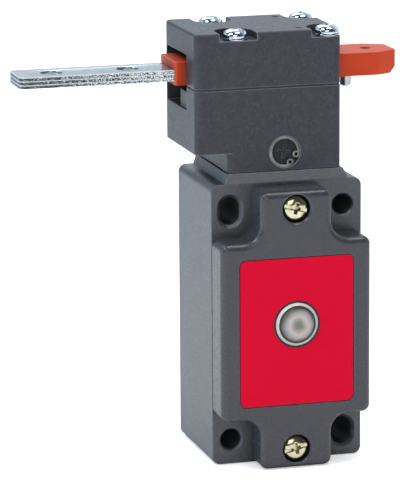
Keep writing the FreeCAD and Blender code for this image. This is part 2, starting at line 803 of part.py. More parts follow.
def make_axle():
    put("lever_axle", cyl(axle_d / 2, axle_front - axle_back, (axle_x, -axle_front, axle_z),
                          (0, 1, 0)))
    r = ring_d / 2 - 0.05
    y0 = head_front + plug_in
    plug = cyl(r, -axle_front - y0, (axle_x, y0, axle_z), (0, 1, 0))
    for a in (8.0, 98.0):
        arm = box(axle_x - r * 0.45, axle_x + r * 0.45, y0 - 0.25, y0, axle_z - 0.35, axle_z + 0.35)
        arm.rotate(V(axle_x, y0, axle_z), V(0, 1, 0), a)
        plug = plug.fuse(arm)
    put("axle_plug", plug)
    make_ring()


def make_ring():
    """Retaining ring with two eyes beside its gap."""
    y0 = head_front + ring_in
    r = ring_d / 2 - 0.02
    s = ring_y(r, r - ring_band, ring_t, (axle_x, y0, axle_z))
    gap_a = ring_eye_half - 8.0
    far = ring_d
    a1 = math.radians(ring_eye_a - gap_a)
    a2 = math.radians(ring_eye_a + gap_a)
    wedge = prism([(axle_x, y0 - 1, axle_z),
                   (axle_x + far * math.cos(a1), y0 - 1, axle_z + far * math.sin(a1)),
                   (axle_x + far * math.cos(a2), y0 - 1, axle_z + far * math.sin(a2))],
                  (0, ring_t + 2, 0))
    s = s.cut(wedge)
    re = r - ring_eye_d / 2
    for k in (-1, 1):
        a = math.radians(ring_eye_a + k * ring_eye_half)
        c = (axle_x + re * math.cos(a), y0, axle_z + re * math.sin(a))
        s = s.fuse(cyl(ring_eye_d / 2, ring_t, c, (0, 1, 0)))
    for k in (-1, 1):
        a = math.radians(ring_eye_a + k * ring_eye_half)
        c = (axle_x + re * math.cos(a), y0, axle_z + re * math.sin(a))
        s = s.cut(cyl(ring_eye_hole_d / 2, ring_t, c, (0, 1, 0)))
    put("retaining_ring", s)


# ---- plunger and spring
def make_plunger():
    z0 = flange_top - flange_t
    s = cyl(flange_d / 2, flange_t, (axle_x, stem_y, z0), (0, 0, 1))
    foot = chamber_top - cam_lift - 0.6
    s = s.fuse(cyl(stem_d / 2, z0 - foot, (axle_x, stem_y, foot), (0, 0, 1)))
    put("plunger", s)
    make_spring(z0 - 0.05, well_floor + 0.05)


def make_spring(z1, z0):
    """Compression spring: many-sided wire swept along a many-sided coil."""
    r = spring_d / 2
    half = spring_wire / 2
    steps = int(round(spring_turns * spring_sides))
    rise = (z1 - z0 - spring_wire) / steps
    pts = []
    for i in range(steps + 1):
        a = 2 * math.pi * i / spring_sides
        pts.append(V(axle_x + r * math.cos(a), stem_y + r * math.sin(a), z0 + half + rise * i))
    path = Part.makePolygon(pts)
    ahead = (pts[1] - pts[0]).normalize()
    out = ahead.cross(V(0, 0, 1)).normalize()
    up = out.cross(ahead)
    ring = []
    for k in range(wire_sides + 1):
        a = 2 * math.pi * (k + 0.5) / wire_sides
        ring.append(pts[0] + out * (half * math.cos(a)) + up * (half * math.sin(a)))
    coil = path.makePipeShell([Part.makePolygon(ring)], True, False, 1)
    put("return_spring", coil)


# ---- contact set
def make_contacts():
    ch = channel_w / 2
    top, bot = block_top, block_bottom
    b = box(-block_w / 2, block_w / 2, -block_front, -body_wall, bot, top)
    b = rounded(b, 1.0, 1)
    b = b.cut(box(-ch, ch, -block_front, -channel_back, carrier_bottom - 3.4, top))
    for sx in (-1, 1):
        for z in (pad_z_nc, pad_z_no):
            b = b.cut(cyl(tscrew_d / 2 + 0.02, tscrew_l - strip_t + 0.2,
                          (sx * pad_x, -block_front, z), (0, 1, 0)))
    put("contact_block", b)
    n = 0
    for z, level in ((pad_z_nc, nc_z + bridge_t + tip_t + touch), (pad_z_no, None)):
        for sx in (-1, 1):
            n += 1
            make_terminal(n, sx, z, level)
    make_carrier()




def make_terminal(n, sx, pz, level):
    """Brass strip: screw pad at the front, contact arm reaching back."""
    if level is None:
        tip0 = no_z - tip_t - cam_lift - 0.2 - tip_t
        arm0 = tip0 - strip_t
    else:
        tip0 = level
        arm0 = level + tip_t
    y0 = -block_front
    x0, x1 = sorted((sx * (pad_x - pad_w / 2), sx * (pad_x + pad_w / 2)))
    pad = box(x0, x1, y0 - strip_t, y0, pz - pad_h / 2, pz + pad_h / 2)
    pad = rounded(pad, 0.8, 1)
    a0, a1 = sorted((sx * (tip_x - strip_w / 2), sx * (tip_x + strip_w / 2)))
    lo = min(arm0, pz - pad_h / 2)
    hi = max(arm0 + strip_t, pz + pad_h / 2)
    arm = box(a0, a1, y0 - strip_t, stem_y + bridge_w / 2, arm0, arm0 + strip_t)
    web = box(a0, a1, y0 - strip_t, y0, lo, hi)
    s = pad.fuse(arm).fuse(web)
    s = s.fuse(cyl(tip_d / 2, tip_t, (sx * tip_x, stem_y, tip0), (0, 0, 1)))
    s = s.cut(cyl(tscrew_d / 2 + 0.1, strip_t, (sx * pad_x, y0 - strip_t, pz), (0, 1, 0)))
    put("terminal_%d" % n, s)
    t = pan_screw((sx * pad_x, y0 - strip_t, pz), "y", tscrew_head_d, tscrew_head_h,
                  tscrew_d - 0.05, tscrew_l, 0.7)
    put("terminal_screw_%d" % n, t)


def make_carrier():
    x, y = axle_x, stem_y
    w, t = carrier_w / 2, carrier_t / 2
    top = chamber_top - cam_lift - 0.6
    s = box(x - w, x + w, y - t, y + t, carrier_bottom, top)
    s = rounded(s, 0.8, 2)
    for z in (nc_z, no_z):
        s = s.cut(box(x - w, x + w, y - bridge_w / 2 - 0.02, y + bridge_w / 2 + 0.02, z, z + 3.6))
        s = s.cut(box(x - w, x + w, y - bridge_w / 2 - 0.02, y + bridge_w / 2 + 0.02,
                      z - 0.0, z + bridge_t))
    put("contact_carrier", s)
    for name, z, up in (("contact_bridge_nc", nc_z, True), ("contact_bridge_no", no_z, False)):
        bl = bridge_l / 2
        b = box(x - bl, x + bl, y - bridge_w / 2, y + bridge_w / 2, z, z + bridge_t)
        b = rounded(b, 0.7, 2)
        for sx in (-1, 1):
            zt = z + bridge_t if up else z - tip_t
            b = b.fuse(cyl(tip_d / 2, tip_t, (sx * tip_x, y, zt), (0, 0, 1)))
        put(name, b)


def make_gasket():
    put("cover_gasket", gasket_shape(0.0))


def main():
    make_housing()
    make_cover()
    make_gasket()
    make_cover_screws()
    make_label()
    make_indicator()
    make_head_base()
    make_head_cap()
    make_head_screws()
    make_head_seal()
    make_slide()
    make_plates()
    make_lever()
    make_axle()
    make_plunger()
    make_contacts()
    os.makedirs("parts", exist_ok=True)
    for name, shape in OUT.items():
        if not shape.isValid():
            print("invalid", name)
        shape.exportStep("parts/%s.step" % name)
        print("%-20s solids %d volume %.1f" % (name, len(shape.Solids), shape.Volume))


main()
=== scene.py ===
# %% [markdown]
# # A tongue interlock switch
# A small safety switch for a machine door: a moulded housing with a cover,
# a head on top of it, and a red slide with a steel tongue that the door
# carries in and out. The solids come from a CAD model and fix every size.
# This lesson adds what makes it look real: light, finishes, and the small
# pieces whose detail is finer than the solids.

# %% Load the frame
import math

import bmesh
import bpy
from mathutils import Matrix, Vector, noise


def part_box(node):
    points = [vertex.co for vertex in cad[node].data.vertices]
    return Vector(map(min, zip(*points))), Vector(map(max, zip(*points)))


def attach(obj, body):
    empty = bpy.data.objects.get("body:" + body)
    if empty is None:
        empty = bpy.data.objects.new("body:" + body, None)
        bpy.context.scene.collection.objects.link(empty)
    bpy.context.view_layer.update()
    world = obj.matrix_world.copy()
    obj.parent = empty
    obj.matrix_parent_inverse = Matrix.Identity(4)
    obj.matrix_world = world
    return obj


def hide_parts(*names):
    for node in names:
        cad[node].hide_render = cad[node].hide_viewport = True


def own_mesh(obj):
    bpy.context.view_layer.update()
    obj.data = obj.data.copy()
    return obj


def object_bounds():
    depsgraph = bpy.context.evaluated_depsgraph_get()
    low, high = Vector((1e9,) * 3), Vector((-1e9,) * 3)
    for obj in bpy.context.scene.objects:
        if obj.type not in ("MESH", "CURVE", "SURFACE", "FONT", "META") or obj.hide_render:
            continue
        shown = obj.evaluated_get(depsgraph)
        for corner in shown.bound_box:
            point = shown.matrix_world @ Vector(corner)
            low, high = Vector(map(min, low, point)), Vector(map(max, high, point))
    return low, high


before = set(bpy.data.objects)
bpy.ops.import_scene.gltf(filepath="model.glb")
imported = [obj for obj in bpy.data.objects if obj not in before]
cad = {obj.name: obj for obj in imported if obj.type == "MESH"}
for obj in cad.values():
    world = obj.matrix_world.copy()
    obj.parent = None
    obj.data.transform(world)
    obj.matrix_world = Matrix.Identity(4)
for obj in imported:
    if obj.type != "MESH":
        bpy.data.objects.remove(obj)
cad_box = [list(v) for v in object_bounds()]
MM = 0.001
print("CAD box in mm:", [[round(c / MM, 1) for c in v] for v in cad_box])

# %% [markdown]
# ## The camera
# A camera could be turned by hand until the view looks right. Here it is
# built from its viewing direction, which is easier to repeat: forward,
# right and up are worked out from three angles and become the columns of
# its rotation. A long lens far away keeps the upright edges parallel.

# %% Camera
yaw, pitch, roll = (math.radians(a) for a in (15.7293, 12.1534, -0.3960))
forward = Vector((math.sin(yaw) * math.cos(pitch), math.cos(yaw) * math.cos(pitch), -math.sin(pitch)))
level = Vector((math.cos(yaw), -math.sin(yaw), 0.0))
upward = level.cross(forward)
right = level * math.cos(roll) + upward * math.sin(roll)
top = upward * math.cos(roll) - level * math.sin(roll)

long_lens = bpy.data.cameras.new("camera")
long_lens.sensor_width = 36.0
long_lens.lens = 260.18
long_lens.clip_start = 0.05
long_lens.clip_end = 60.0
camera = bpy.data.objects.new("camera", long_lens)
view_axes = Matrix((right, top, -forward)).transposed()
camera.matrix_world = Matrix.Translation((-0.25620, -0.86001, 0.20855)) @ view_axes.to_4x4()
bpy.context.scene.collection.objects.link(camera)
bpy.context.scene.camera = camera
bpy.context.scene.view_settings.view_transform = "Standard"
print("camera distance in m:", round(camera.matrix_world.translation.length, 3))

# %% [markdown]
# ## Helpers for finishes
# Every finish is a small tree of shader nodes. Written out in full, a tree
# takes a page, so these helpers each stand for one everyday step: add a
# node and join its inputs, do a sum, carry one span of numbers over to
# another, read a colour ramp, mix two colours, make noise of a size given
# in millimetres.


# %% Nodes and sums
def new_finish(name, color, roughness, metallic=0.0):
    """A material with its Principled shader set to plain values."""
    mat = bpy.data.materials.new(name)
    mat.use_nodes = True
    shader = mat.node_tree.nodes["Principled BSDF"]
    shader.inputs["Base Color"].default_value = (*color, 1.0)
    shader.inputs["Roughness"].default_value = roughness
    shader.inputs["Metallic"].default_value = metallic
    return mat, mat.node_tree, shader


def add(tree, kind, settings=(), **inputs):
    """Add a shader node; an input is a value or another node's output."""
    node = tree.nodes.new("ShaderNode" + kind)
    for key, value in dict(settings).items():
        setattr(node, key, value)
    for key, value in inputs.items():
        by_number = key[0] == "i" and key[1:].isdigit()
        where = int(key[1:]) if by_number else key.replace("_", " ")
        if isinstance(value, bpy.types.NodeSocket):
            tree.links.new(value, node.inputs[where])
        else:
            node.inputs[where].default_value = value
    return node


def calc(tree, how, a, b=0.0):
    """One sum on values or sockets, such as MULTIPLY or MAXIMUM."""
    return add(tree, "Math", {"operation": how}, i0=a, i1=b).outputs[0]


def remap(tree, value, low, high, to_low=0.0, to_high=1.0):
    """Carry low..high over to to_low..to_high, held at both ends."""
    node = add(tree, "MapRange", Value=value, From_Min=low, From_Max=high,
               To_Min=to_low, To_Max=to_high)
    return node.outputs["Result"]


print("node helpers ready")


# %% Colours and noise
def shaded(color, factor):
    """A colour made lighter or darker by a factor."""
    return tuple(c * factor for c in color)


def ramp(tree, fac, *stops):
    """A colour ramp through (position, colour or grey) stops."""
    node = add(tree, "ValToRGB", Fac=fac)
    band = node.color_ramp
    while len(band.elements) > len(stops):
        band.elements.remove(band.elements[-1])
    while len(band.elements) < len(stops):
        band.elements.new(1.0)
    for stop, (position, color) in zip(band.elements, stops):
        stop.position = position
        stop.color = (color, color, color, 1.0) if isinstance(color, float) else (*color, 1.0)
    return node.outputs["Color"]


def mixed(tree, fac, a, b, how="MIX"):
    """Mix two colours, each a value or a socket."""
    node = tree.nodes.new("ShaderNodeMix")
    node.data_type = "RGBA"
    node.blend_type = how
    for socket, value in ((node.inputs[0], fac), (node.inputs[6], a), (node.inputs[7], b)):
        if isinstance(value, bpy.types.NodeSocket):
            tree.links.new(value, socket)
        else:
            socket.default_value = value if isinstance(value, (int, float)) else (*value, 1.0)
    return node.outputs[2]


def grain(tree, size_mm, detail=2.0, rough=0.6):
    """Noise whose blotches are about size_mm across, in object space."""
    here = add(tree, "TexCoord").outputs["Object"]
    node = add(tree, "TexNoise", Vector=here, Scale=1.0 / (size_mm * MM), Detail=detail, Roughness=rough)
    return node.outputs["Fac"]


print("colour helpers ready")

# %% [markdown]
# ## Edges and hollows
# Real edges are never perfectly sharp, and shade gathers where walls stand
# close. A Bevel node gives the surface direction as if edges were rounded.
# Where it differs from the true direction, there is an edge; the finishes
# use it for a painted highlight or painted shade along edges. An Ambient
# Occlusion node tells how much open space a point sees; the finishes use it
# to paint shade into the colour of hollows. Both work on the solids as they
# are, so their meshes need no change.


# %% Edges, hollows and relief
def edge_normal(tree, radius_mm):
    """Surface direction with every sharp edge softened by a small radius."""
    return add(tree, "Bevel", {"samples": 10}, Radius=radius_mm * MM).outputs["Normal"]


def edge_mask(tree, soft):
    """0 on flat faces, rising to 1 on an edge."""
    plain = add(tree, "NewGeometry").outputs["Normal"]
    agree = add(tree, "VectorMath", {"operation": "DOT_PRODUCT"}, i0=soft, i1=plain)
    return remap(tree, agree.outputs["Value"], 1.0, 0.8)


def hollow_shade(tree, reach_mm, deep, open_at):
    """Painted shade: 1 in the open, falling to deep where walls stand close all round."""
    space_seen = add(tree, "AmbientOcclusion", {"samples": 6}, Distance=reach_mm * MM).outputs["AO"]
    return ramp(tree, space_seen, (0.0, deep), (open_at, 1.0))


def bump(tree, height, depth_mm, strength=1.0, normal=None):
    """Surface direction of a fine relief of the given depth."""
    node = add(tree, "Bump", Height=height, Distance=depth_mm * MM, Strength=strength)
    if normal is not None:
        tree.links.new(normal, node.inputs["Normal"])
    return node.outputs["Normal"]


print("surface helpers ready")

# %% [markdown]
# ## The room
# A switch like this is shown on plain white. The world is white to the
# camera and through clear things. It could be white to everything, but
# then screws and gloss would look flat. So a mirrored ray sees a room that
# is bright beyond the switch and darker above, to the left and on the
# viewer's side, which gives metal its contrast.

# %% World
world = bpy.data.worlds.new("studio")
bpy.context.scene.world = world
world.use_nodes = True
sky = world.node_tree
WHITE, BLACK = (1.0, 1.0, 1.0), (0.0, 0.0, 0.0)
rays = add(sky, "LightPath").outputs
toward = add(sky, "SeparateXYZ", Vector=add(sky, "TexCoord").outputs["Generated"]).outputs
beyond = remap(sky, toward["Y"], -0.55, 0.25, 0.08, 1.10)
above = remap(sky, toward["Z"], 0.35, 0.9, 1.0, 0.45)
beside = remap(sky, toward["X"], -0.35, 0.20, 0.12, 1.0)
glow = calc(sky, "MULTIPLY", calc(sky, "MULTIPLY", beyond, above), beside)
mirrored_room = mixed(sky, glow, BLACK, (0.80, 0.91, 1.0))
room = mixed(sky, rays["Is Glossy Ray"], (0.50, 0.51, 0.53), mirrored_room)
room = mixed(sky, rays["Is Camera Ray"], room, WHITE)
room = mixed(sky, rays["Is Transmission Ray"], room, WHITE)
sky.links.new(room, sky.nodes["Background"].inputs["Color"])
sky.nodes["Background"].inputs["Strength"].default_value = 1.0
print("world nodes:", len(sky.nodes))

# %% [markdown]
# ## Lamps
# Big soft lamps stand left, in front, above and behind. A small lamp would
# be quicker to place, but its hard shadow and tiny highlight look like a
# torch, and a softbox gives a broad sheen. The two on the left are cool,
# like a window. Two fills stay out of the reflections.


# %% Softboxes
def soft_lamp(name, stand, aim, size, watts, color=WHITE, mirrored=True):
    """A large rectangular softbox at stand, turned to aim."""
    data = bpy.data.lights.new(name, "AREA")
    data.shape = "RECTANGLE"
    data.size, data.size_y = size
    data.energy = watts
    data.color = color
    lamp = bpy.data.objects.new(name, data)
    way = Vector(aim) - Vector(stand)
    lamp.rotation_euler = way.to_track_quat("-Z", "Y").to_euler()
    lamp.location = stand
    lamp.visible_glossy = mirrored
    bpy.context.scene.collection.objects.link(lamp)
    return lamp


cool = (0.46, 0.76, 1.0)
pale_cool = (0.80, 0.92, 1.0)
soft_lamp("key", (-0.58, -0.22, 0.82), (0, 0, 0.02), (0.40, 0.40), 3.4)
soft_lamp("front", (-0.35, -1.25, 0.55), (0, 0, 0.02), (0.9, 0.7), 3.2)
soft_lamp("overhead", (0.20, -0.18, 0.95), (0, 0, 0.03), (0.45, 0.38), 2.6)
soft_lamp("front_top", (0.25, -0.80, 0.66), (0, 0, 0.02), (0.8, 0.5), 1.1, mirrored=False)
soft_lamp("left_window", (-0.80, 0.42, 0.16), (0, 0, 0.03), (1.3, 0.9), 3.1, cool)
soft_lamp("left_strip", (-0.85, -0.18, 0.05), (0, 0, 0.03), (0.12, 0.8), 2.2, cool)
soft_lamp("back_top", (-0.10, 0.70, 0.80), (0, 0, 0.05), (0.9, 0.5), 4.2, pale_cool)
soft_lamp("fill_right", (0.9, -0.6, 0.35), (0, 0, 0.02), (0.4, 0.6), 0.6, mirrored=False)
print("lamps:", len(bpy.data.lights))

# %% [markdown]
# ## Floor
# The floor is white paper that keeps a soft shadow. More lamps would make
# it white too, but they would wash out the colours. So to the camera it
# adds a little of its own light, and the lamps stay at a level where a
# colour looks as it is written.

# %% Floor
FLOOR_DROP = 0.2 * MM
FLOOR_HALF = 12.0
paper, tree, shader = new_finish("paper", (0.92, 0.92, 0.92), 0.9)
own_light = calc(tree, "MULTIPLY", add(tree, "LightPath").outputs["Is Camera Ray"], 0.42)
tree.links.new(own_light, shader.inputs["Emission Strength"])
shader.inputs["Emission Color"].default_value = (*WHITE, 1.0)
fibre = bump(tree, grain(tree, 1.2, 3.0), 0.02, 0.4)
tree.links.new(fibre, shader.inputs["Normal"])

paper_sheet = bmesh.new()
bmesh.ops.create_grid(paper_sheet, x_segments=1, y_segments=1, size=FLOOR_HALF)
bmesh.ops.translate(paper_sheet, verts=paper_sheet.verts, vec=(0, 0, cad_box[0][2] - FLOOR_DROP))
floor_mesh = bpy.data.meshes.new("floor")
paper_sheet.to_mesh(floor_mesh)
paper_sheet.free()
floor = bpy.data.objects.new("floor", floor_mesh)
floor_mesh.materials.append(paper)
bpy.context.scene.collection.objects.link(floor)
print("floor height in mm:", round(cad_box[0][2] / MM, 2))

# %% [markdown]
# ## Moulded plastic
# Housing, cover and head are glass-filled nylon, the colour of wet slate.
# The steel mould is spark-eroded, which leaves a fine grain that breaks up
# reflections. An image of grain could be wrapped round, but noise in object
# space needs no seams. A grain bumps the surface, broad clouds shift the
# colour a little, and specks change colour and gloss. Edges get a painted
# highlight, pale in the colour, and hollows such as the fixing holes get
# painted shade, dark in the colour, and turn dull.


# %% Slate plastic
def slate_plastic(name, color, grain_mm, depth_mm, gloss, shine, mottle, speck, edge_mm, edge_highlight):
    """Grained dark nylon; mottle and speck say how far its colour strays, edge_highlight how pale the
    painted highlight on its edges is.
    """
    mat, tree, shader = new_finish(name, color, gloss)
    soft = edge_normal(tree, edge_mm)
    edge = edge_mask(tree, soft)
    clouds = grain(tree, 2.6, 4.0, 0.7)
    specks = grain(tree, grain_mm * 1.6, 1.0)
    skin = mixed(tree, ramp(tree, clouds, (0.34, 0.0), (0.66, 1.0)),
                 shaded(color, 1 - mottle), shaded(color, 1 + mottle))
    skin = mixed(tree, ramp(tree, specks, (0.52, 0.0), (0.72, 1.0)), skin, shaded(color, speck))
    # Painted highlight: edges are paler in the colour, as if light caught on them.
    skin = mixed(tree, calc(tree, "MULTIPLY", edge, 0.7), skin, shaded(color, edge_highlight))
    # Painted shade: the colour darkens where walls stand close, and such hollows are also made dull.
    near = hollow_shade(tree, 8.0, 0.05, 0.62)
    skin = mixed(tree, 1.0, skin, near, "MULTIPLY")
    tree.links.new(skin, shader.inputs["Base Color"])
    rub = remap(tree, specks, 0.3, 0.7, gloss - 0.07, gloss + 0.08)
    dull = remap(tree, near, 0.05, 1.0, 0.95, 0.0)
    tree.links.new(calc(tree, "MAXIMUM", rub, dull), shader.inputs["Roughness"])
    relief = bump(tree, grain(tree, grain_mm, 3.0, 0.7), depth_mm, 1.0, soft)
    tree.links.new(relief, shader.inputs["Normal"])
    shader.inputs["IOR"].default_value = 1.5
    shader.inputs["Specular IOR Level"].default_value = shine
    return mat


housing_plastic = slate_plastic(
    "housing_plastic", (0.034, 0.035, 0.044), grain_mm=0.42, depth_mm=0.10, gloss=0.36,
    shine=0.95, mottle=0.16, speck=1.7, edge_mm=0.4, edge_highlight=5.0)
cover_plastic = slate_plastic(
    "cover_plastic", (0.036, 0.036, 0.045), grain_mm=0.36, depth_mm=0.005, gloss=0.30,
    shine=0.62, mottle=0.05, speck=1.2, edge_mm=0.3, edge_highlight=4.0)
head_plastic = slate_plastic(
    "head_plastic", (0.043, 0.043, 0.053), grain_mm=0.40, depth_mm=0.014, gloss=0.38,
    shine=0.20, mottle=0.10, speck=1.3, edge_mm=0.4, edge_highlight=9.0)
print("plastics:", housing_plastic.name, cover_plastic.name, head_plastic.name)

# %% [markdown]
# ## Red slide
# The slide is a self-lubricating plastic in signal orange-red. A plain
# colour would look like paint, so a touch of subsurface light softens it,
# and its long faces carry faint draw lines from sliding. The lines are
# noise stretched along the slide by a Mapping node. Its edges get a
# painted highlight, a paler orange, and its hollows painted shade.


# %% Slide plastic
def slide_red():
    """Orange-red plastic with draw lines along X, painted highlight on edges and painted shade in
    hollows.
    """
    mat, tree, shader = new_finish("slide_red", (0.60, 0.055, 0.022), 0.38)
    soft = edge_normal(tree, 0.3)
    here = add(tree, "TexCoord").outputs["Object"]
    drawn = add(tree, "Mapping", Vector=here, Scale=(60.0, 2600.0, 2600.0)).outputs["Vector"]
    lines = add(tree, "TexNoise", Vector=drawn, Scale=1.0, Detail=2.0).outputs["Fac"]
    tint = mixed(tree, grain(tree, 6.0, 2.0), (0.47, 0.042, 0.014), (0.56, 0.064, 0.022))
    # Painted highlight: edges turn a paler orange in the colour.
    tint = mixed(tree, edge_mask(tree, soft), tint, (0.80, 0.20, 0.08))
    # Painted shade: the colour darkens in hollows, such as near the head.
    tint = mixed(tree, 1.0, tint, hollow_shade(tree, 6.0, 0.12, 0.88), "MULTIPLY")
    tree.links.new(tint, shader.inputs["Base Color"])
    tree.links.new(remap(tree, lines, 0.0, 1.0, 0.36, 0.52), shader.inputs["Roughness"])
    tree.links.new(bump(tree, lines, 0.010, 1.0, soft), shader.inputs["Normal"])
    shader.inputs["Specular IOR Level"].default_value = 0.20
    shader.inputs["Specular Tint"].default_value = (1.0, 0.74, 0.50, 1.0)
    shader.inputs["Subsurface Weight"].default_value = 0.12
    shader.inputs["Subsurface Radius"].default_value = (0.0012, 0.0003, 0.0002)
    shader.inputs["Subsurface Scale"].default_value = 1.0
    return mat


slide_plastic = slide_red()
print("slide finish:", slide_plastic.name)

# %% [markdown]
# ## Label
# The label is a printed film, left plain here: flat, satin, with a barely
# visible orange-peel. Its rim is darker: painted shade from the recess the
# film lies in. The gloss is kept low, because a broad sheen would turn the
# red to pink.


# %% Label film
def label_red():
    """Flat red film with painted shade along its rim."""
    mat, tree, shader = new_finish("label_red", (0.72, 0.0030, 0.030), 0.42)
    soft = edge_normal(tree, 0.12)
    tint = mixed(tree, grain(tree, 12.0, 2.0), (0.585, 0.0022, 0.024), (0.62, 0.0026, 0.027))
    # Painted shade: the rim is darkened in the colour, as the recess would shade it.
    tint = mixed(tree, edge_mask(tree, soft), tint, (0.30, 0.004, 0.012))
    tree.links.new(tint, shader.inputs["Base Color"])
    tree.links.new(bump(tree, grain(tree, 0.7, 1.0), 0.002, 1.0, soft), shader.inputs["Normal"])
    shader.inputs["Specular IOR Level"].default_value = 0.05
    return mat


label_film = label_red()
print("label finish:", label_film.name)

# %% [markdown]
# ## Plain metals
# Bright zinc coats the head screws and their washers. Plain steel makes the
# stop pin, axle, rivets and terminal screws, dark spring steel the
# retaining ring and the return spring, and brass the contacts. One recipe
# serves all four: a full metal whose colour and roughness wander with
# noise, since an even metal looks like plastic, and whose colour gets
# painted shade in narrow gaps such as a screw's drive.


# %% Metals
def metal(name, dark, light, rough, patch_mm=1.2, depth_mm=0.004, edge_mm=0.08):
    """A metal that wanders between dark and light in patches, with painted shade in narrow gaps."""
    mat, tree, shader = new_finish(name, light, rough, 1.0)
    soft = edge_normal(tree, edge_mm)
    tint = ramp(tree, grain(tree, patch_mm, 3.0), (0.35, dark), (0.65, light))
    # Painted shade: the colour darkens in narrow gaps.
    tint = mixed(tree, 1.0, tint, hollow_shade(tree, 0.7, 0.10, 0.62), "MULTIPLY")
    tree.links.new(tint, shader.inputs["Base Color"])
    fine = grain(tree, 0.12, 2.0)
    tree.links.new(remap(tree, fine, 0.3, 0.7, rough * 0.7, rough * 1.35), shader.inputs["Roughness"])
    tree.links.new(bump(tree, fine, depth_mm, 1.0, soft), shader.inputs["Normal"])
    return mat


bright_zinc = metal("bright_zinc", (0.52, 0.58, 0.67), (0.76, 0.82, 0.90), 0.12, depth_mm=0.0008)
plain_steel = metal("plain_steel", (0.50, 0.51, 0.53), (0.68, 0.69, 0.71), 0.20, depth_mm=0.002)
spring_steel = metal("spring_steel", (0.12, 0.117, 0.115), (0.26, 0.255, 0.25), 0.22,
                     patch_mm=3.0, depth_mm=0.0015, edge_mm=0.16)
brass = metal("brass", (0.62, 0.45, 0.18), (0.80, 0.62, 0.30), 0.25)
print("metals:", bright_zinc.name, plain_steel.name, spring_steel.name, brass.name)

# %% [markdown]
# ## Yellow chromate
# The cover screws have a yellow chromate over the zinc. It is so thin that
# its colour drifts with its thickness, from brown through straw to green
# and pink. A ramp with four stops, read by soft noise, gives that drift
# without working out the real interference. The drive is painted nearly
# black: painted shade in its recess.


# %% Yellow zinc
def yellow_zinc():
    """Chromated zinc whose colour drifts as a thin film's does, with painted shade in the drive."""
    mat, tree, shader = new_finish("yellow_zinc", (0.78, 0.70, 0.42), 0.14, 1.0)
    soft = edge_normal(tree, 0.08)
    tint = ramp(tree, grain(tree, 1.6, 2.0),
                (0.30, (0.50, 0.38, 0.20)), (0.46, (0.84, 0.75, 0.52)),
                (0.60, (0.62, 0.64, 0.46)), (0.72, (0.80, 0.57, 0.44)))
    # Painted shade: the drive and other narrow hollows turn nearly black in the colour.
    tint = mixed(tree, hollow_shade(tree, 1.0, 0.0, 0.80), (0.055, 0.036, 0.018), tint)
    tree.links.new(tint, shader.inputs["Base Color"])
    tree.links.new(bump(tree, grain(tree, 0.4, 2.0), 0.004, 1.0, soft), shader.inputs["Normal"])
    return mat


chromate = yellow_zinc()
print("cover screw finish:", chromate.name)

# %% [markdown]
# ## Galvanised tongue
# The tongue is three steel sheets on top of each other. Their flat faces
# are smooth zinc with a faint spangle. Their long edges and their free
# ends are sheared, so they are torn and sparkling, with a burnished band
# where the blade went in. Two materials could be assigned face by face.
# One finish that finds the edges by itself is simpler: a long edge lies
# farthest from the middle line, and an end is a steep face near the tip.


# %% Where the sheets are
stack = [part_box(f"tongue_plate_{n}") for n in (1, 2, 3)]
stack.sort(key=lambda box: box[0].z)
sheet_pitch = stack[1][0].z - stack[0][0].z
print("sheet pitch in mm:", round(sheet_pitch / MM, 3))


# %% Galvanised sheet
def sheared_mask(tree, at, low, high):
    """1 on the sheared long edges and on the tip's steep faces, else 0."""
    off = calc(tree, "ABSOLUTE", calc(tree, "SUBTRACT", at["Y"], (low.y + high.y) / 2))
    half = (high.y - low.y) / 2
    long_edge = remap(tree, off, half - 0.04 * MM, half - 0.015 * MM)
    true_normal = add(tree, "NewGeometry").outputs["True Normal"]
    rise = calc(tree, "ABSOLUTE", add(tree, "SeparateXYZ", Vector=true_normal).outputs["Z"])
    steep = remap(tree, rise, 0.2, 0.5, 1.0, 0.0)
    tip = remap(tree, at["X"], low.x + 1.02 * MM, low.x + 1.06 * MM, 1.0, 0.0)
    return calc(tree, "MAXIMUM", long_edge, calc(tree, "MULTIPLY", tip, steep))


def torn_color(tree, at, low, pitch):
    """Sparkling chips, denser towards the slide, under a burnished band."""
    along = remap(tree, at["X"], low.x, low.x + 45 * MM, -0.12, 0.045)
    chips = calc(tree, "ADD", grain(tree, 0.27, 2.0, 0.7), along)
    sparkle = ramp(tree, chips, (0.43, (0.015, 0.024, 0.028)), (0.50, (0.30, 0.35, 0.36)),
                   (0.57, (0.95, 0.98, 0.98)))
    sheets_up = calc(tree, "DIVIDE", calc(tree, "SUBTRACT", at["Z"], low.z), pitch)
    in_sheet = calc(tree, "FRACT", sheets_up)
    burnish = remap(tree, in_sheet, 0.66, 0.84, 0.0, 0.8)
    return mixed(tree, burnish, sparkle, (0.80, 0.85, 0.87))


